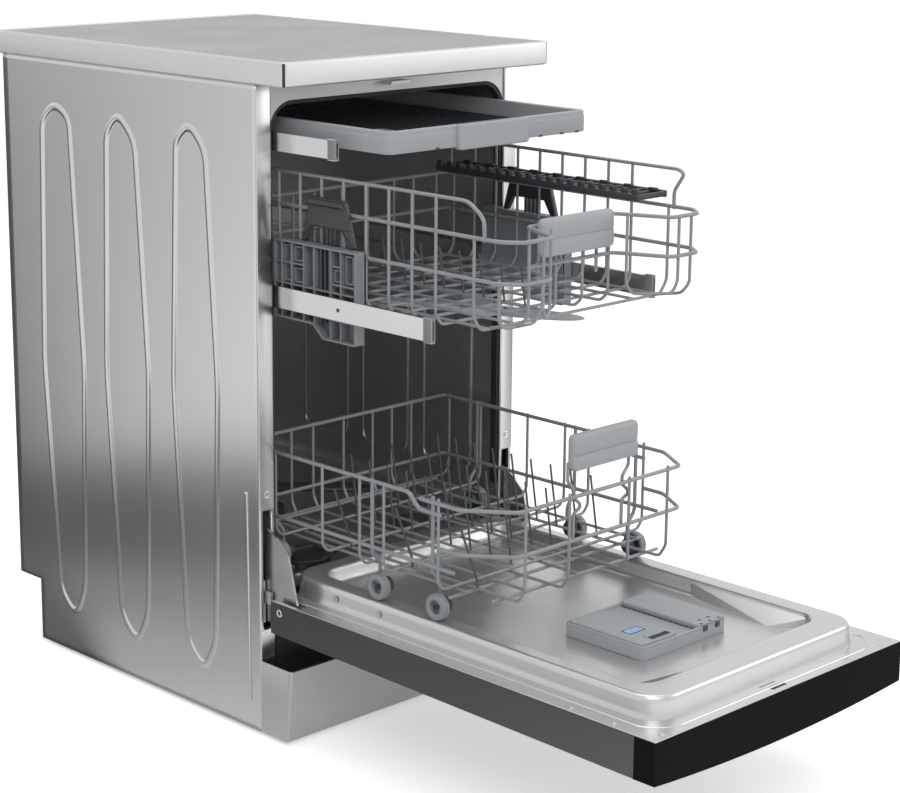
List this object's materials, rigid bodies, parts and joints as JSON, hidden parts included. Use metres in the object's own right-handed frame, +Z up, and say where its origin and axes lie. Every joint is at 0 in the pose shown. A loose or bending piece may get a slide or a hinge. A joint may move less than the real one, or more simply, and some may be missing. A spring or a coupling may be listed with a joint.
{
  "type": "freestanding dishwasher",
  "caption": "Slimline freestanding dishwasher: silver cabinet on a plinth, door lying open, wheeled lower basket, height-adjustable upper basket and top tray rolled out on rails",
  "frame": {"origin": "on the floor, on the middle line, in the plane of the closed door's face, which is the middle of the whole object's depth with the door open", "axes": "+Z up, +Y from the door towards the back of the cabinet, +X to the right as seen from the front"},
  "size_m": [0.45, 1.179, 0.845],
  "materials": {
    "worktop_laminate": "fine grey laminate, satin",
    "bright_trim": "pale satin edge trim",
    "silver_sheet": "silver grey enamel, soft sheen",
    "plinth_sheet": "matte silver enamel",
    "zinc_sheet": "zinc coated sheet",
    "tub_steel": "bright annealed stainless sheet",
    "liner_steel": "bright stainless pressing",
    "skin_steel": "dark brushed stainless",
    "panel_black": "gloss black",
    "spring_steel": "plated steel",
    "rail_steel": "drawn stainless rail",
    "filter_steel": "perforated stainless",
    "seal_rubber": "matte seal rubber",
    "base_plastic": "matte dark moulding",
    "stone_weight": "cast mineral block",
    "natural_plastic": "natural moulding",
    "motor_plastic": "dark motor housing",
    "duct_plastic": "dark grey moulding",
    "coated_wire": "grey nylon coated wire",
    "wheel_plastic": "grey moulding",
    "blue_grey_plastic": "light blue grey moulding",
    "carrier_plastic": "mid grey moulding",
    "slate_plastic": "dark slate moulding",
    "button_plastic": "smooth grey",
    "bitumen_felt": "dense felt"
  },
  "bodies": {
    "cabinet": {"base_tray": "base_plastic", "plinth": "plinth_sheet", "side_panel_left": "silver_sheet", "side_panel_right": "silver_sheet", "back_panel": "zinc_sheet", "worktop": "worktop_laminate", "worktop_trim": "bright_trim", "front_frame": "zinc_sheet", "tub": "tub_steel", "tub_seal": "seal_rubber", "counterweight": "stone_weight", "sump": "natural_plastic", "circulation_pump": "motor_plastic", "drain_pump": "motor_plastic", "hinge_apron": "base_plastic", "softener": "natural_plastic", "inlet_valve": "natural_plastic", "latch_striker": "spring_steel", "door_springs": "spring_steel", "hinge_brackets": "zinc_sheet", "fixed_rails": "rail_steel", "spray_ducts": "duct_plastic", "filter_plate": "filter_steel", "cabinet_screws": "spring_steel", "levelling_feet": "base_plastic"},
    "ceiling_sprayer": {"ceiling_sprayer": "carrier_plastic"},
    "lower_spray_arm": {"lower_spray_arm": "duct_plastic"},
    "filter_cylinder": {"filter_cylinder": "duct_plastic"},
    "salt_cap": {"salt_cap": "duct_plastic"},
    "rear_axles": {"rear_axles": "wheel_plastic"},
    "wheels_rear": {"wheels_rear": "wheel_plastic"},
    "lower_basket": {"lower_basket": "coated_wire", "lower_handle": "blue_grey_plastic"},
    "wheels_front": {"wheels_front": "wheel_plastic"},
    "wheels_middle": {"wheels_middle": "wheel_plastic"},
    "lower_tines": {"lower_tines": "coated_wire"},
    "upper_rails": {"upper_rails": "rail_steel"},
    "upper_carriers": {"upper_carriers": "carrier_plastic"},
    "lever_left": {"lever_left": "slate_plastic"},
    "lever_right": {"lever_right": "slate_plastic"},
    "upper_basket": {"upper_basket": "coated_wire", "upper_handle": "blue_grey_plastic", "feed_pipe": "carrier_plastic"},
    "folding_shelf": {"folding_shelf": "slate_plastic"},
    "upper_spray_arm": {"upper_spray_arm": "carrier_plastic"},
    "upper_tines": {"upper_tines": "coated_wire"},
    "tray_rails": {"tray_rails": "rail_steel"},
    "tray": {"tray_frame": "blue_grey_plastic", "tray_grille": "slate_plastic"},
    "door": {"door_skin": "skin_steel", "door_liner": "liner_steel", "liner_floor": "liner_steel", "control_panel": "panel_black", "door_insulation": "bitumen_felt", "hinge_arms": "spring_steel", "dispenser": "blue_grey_plastic", "door_lock": "slate_plastic"},
    "detergent_lid": {"detergent_lid": "blue_grey_plastic"},
    "rinse_flap": {"rinse_flap": "blue_grey_plastic"},
    "power_button": {"power_button": "button_plastic"},
    "start_button": {"start_button": "button_plastic"}
  },
  "joints": [
    {"name": "door_hinge", "type": "hinge", "parent": "cabinet", "child": "door", "pos_m": [0, 0.045, 0.181], "axis": [-1, 0, 0], "range_deg": [0, 10]},
    {"name": "lower_basket_slide", "type": "slide", "parent": "cabinet", "child": "rear_axles", "axis": [0, -1, 0], "range_m": [-0.385, 0]},
    {"name": "lower_basket_tilt", "type": "hinge", "parent": "rear_axles", "child": "lower_basket", "pos_m": [0, 0.065, 0.2263], "axis": [-1, 0, 0], "range_deg": [0, 9.6]},
    {"name": "wheels_rear_roll", "type": "hinge", "parent": "rear_axles", "child": "wheels_rear", "pos_m": [0, 0.065, 0.2263], "axis": [1, 0, 0], "continuous": true},
    {"name": "wheels_front_roll", "type": "hinge", "parent": "lower_basket", "child": "wheels_front", "pos_m": [0, -0.216, 0.2263], "axis": [1, 0, 0], "continuous": true},
    {"name": "wheels_middle_roll", "type": "hinge", "parent": "lower_basket", "child": "wheels_middle", "pos_m": [0, -0.116, 0.2263], "axis": [1, 0, 0], "continuous": true},
    {"name": "lower_tines_fold", "type": "hinge", "parent": "lower_basket", "child": "lower_tines", "pos_m": [-0.058, -0.086, 0.2526], "axis": [0, -1, 0], "range_deg": [0, 80]},
    {"name": "lower_spray_arm_spin", "type": "hinge", "parent": "cabinet", "child": "lower_spray_arm", "pos_m": [0, 0.3, 0.2275], "axis": [0, 0, 1], "continuous": true},
    {"name": "ceiling_sprayer_spin", "type": "hinge", "parent": "cabinet", "child": "ceiling_sprayer", "pos_m": [0, 0.305, 0.783], "axis": [0, 0, 1], "continuous": true},
    {"name": "filter_turn", "type": "hinge", "parent": "cabinet", "child": "filter_cylinder", "pos_m": [-0.11, 0.098, 0.19], "axis": [0, 0, 1], "range_deg": [0, 90]},
    {"name": "salt_cap_turn", "type": "hinge", "parent": "cabinet", "child": "salt_cap", "pos_m": [0.105, 0.12, 0.19], "axis": [0, 0, 1], "range_deg": [0, 120]},
    {"name": "upper_basket_slide", "type": "slide", "parent": "cabinet", "child": "upper_carriers", "axis": [0, -1, 0], "range_m": [-0.385, 0]},
    {"name": "upper_rails_slide", "type": "slide", "parent": "cabinet", "child": "upper_rails", "axis": [0, -1, 0], "range_m": [-0.27, 0]},
    {"name": "upper_basket_height", "type": "slide", "parent": "upper_carriers", "child": "upper_basket", "axis": [0, 0, 1], "range_m": [-0.05, 0]},
    {"name": "lever_left_press", "type": "hinge", "parent": "upper_carriers", "child": "lever_left", "pos_m": [-0.1773, -0.027, 0.6283], "axis": [0, -1, 0], "range_deg": [0, 8], "stiffness_Nm_per_rad": 0.6},
    {"name": "lever_right_press", "type": "hinge", "parent": "upper_carriers", "child": "lever_right", "pos_m": [0.1773, -0.027, 0.6283], "axis": [0, 1, 0], "range_deg": [0, 8], "stiffness_Nm_per_rad": 0.6},
    {"name": "folding_shelf_fold", "type": "hinge", "parent": "upper_basket", "child": "folding_shelf", "pos_m": [0.1654, -0.089, 0.6865], "axis": [0, 1, 0], "range_deg": [0, 78]},
    {"name": "upper_spray_arm_spin", "type": "hinge", "parent": "upper_basket", "child": "upper_spray_arm", "pos_m": [0, -0.102, 0.5388], "axis": [0, 0, 1], "continuous": true},
    {"name": "upper_tines_fold", "type": "hinge", "parent": "upper_basket", "child": "upper_tines", "pos_m": [-0.03, -0.076, 0.5616], "axis": [0, -1, 0], "range_deg": [0, 80]},
    {"name": "tray_slide", "type": "slide", "parent": "cabinet", "child": "tray", "axis": [0, -1, 0], "range_m": [-0.19, 0.15]},
    {"name": "tray_rails_slide", "type": "slide", "parent": "cabinet", "child": "tray_rails", "axis": [0, -1, 0], "range_m": [-0.12, 0.092]},
    {"name": "detergent_lid_slide", "type": "slide", "parent": "door", "child": "detergent_lid", "axis": [1, 0, 0], "range_m": [0, 0.028]},
    {"name": "rinse_flap_open", "type": "hinge", "parent": "door", "child": "rinse_flap", "pos_m": [0.058, -0.3193, 0.2095], "axis": [-1, 0, 0], "range_deg": [0, 75]},
    {"name": "power_button_press", "type": "slide", "parent": "door", "child": "power_button", "axis": [0, 0, 1], "range_m": [0, 0.0015], "stiffness_N_per_m": 500},
    {"name": "start_button_press", "type": "slide", "parent": "door", "child": "start_button", "axis": [0, 0, 1], "range_m": [0, 0.0015], "stiffness_N_per_m": 500}
  ],
  "couplings": [
    {"joint": "lower_basket_tilt", "follows": "door_hinge", "ratio": 0.955},
    {"joint": "wheels_rear_roll", "follows": "lower_basket_slide", "rad_per_m": 62.5},
    {"joint": "wheels_front_roll", "follows": "lower_basket_slide", "rad_per_m": 62.5},
    {"joint": "wheels_middle_roll", "follows": "lower_basket_slide", "rad_per_m": 62.5},
    {"joint": "upper_rails_slide", "follows": "upper_basket_slide", "ratio": 0.69},
    {"joint": "tray_rails_slide", "follows": "tray_slide", "ratio": 0.6}
  ]
}
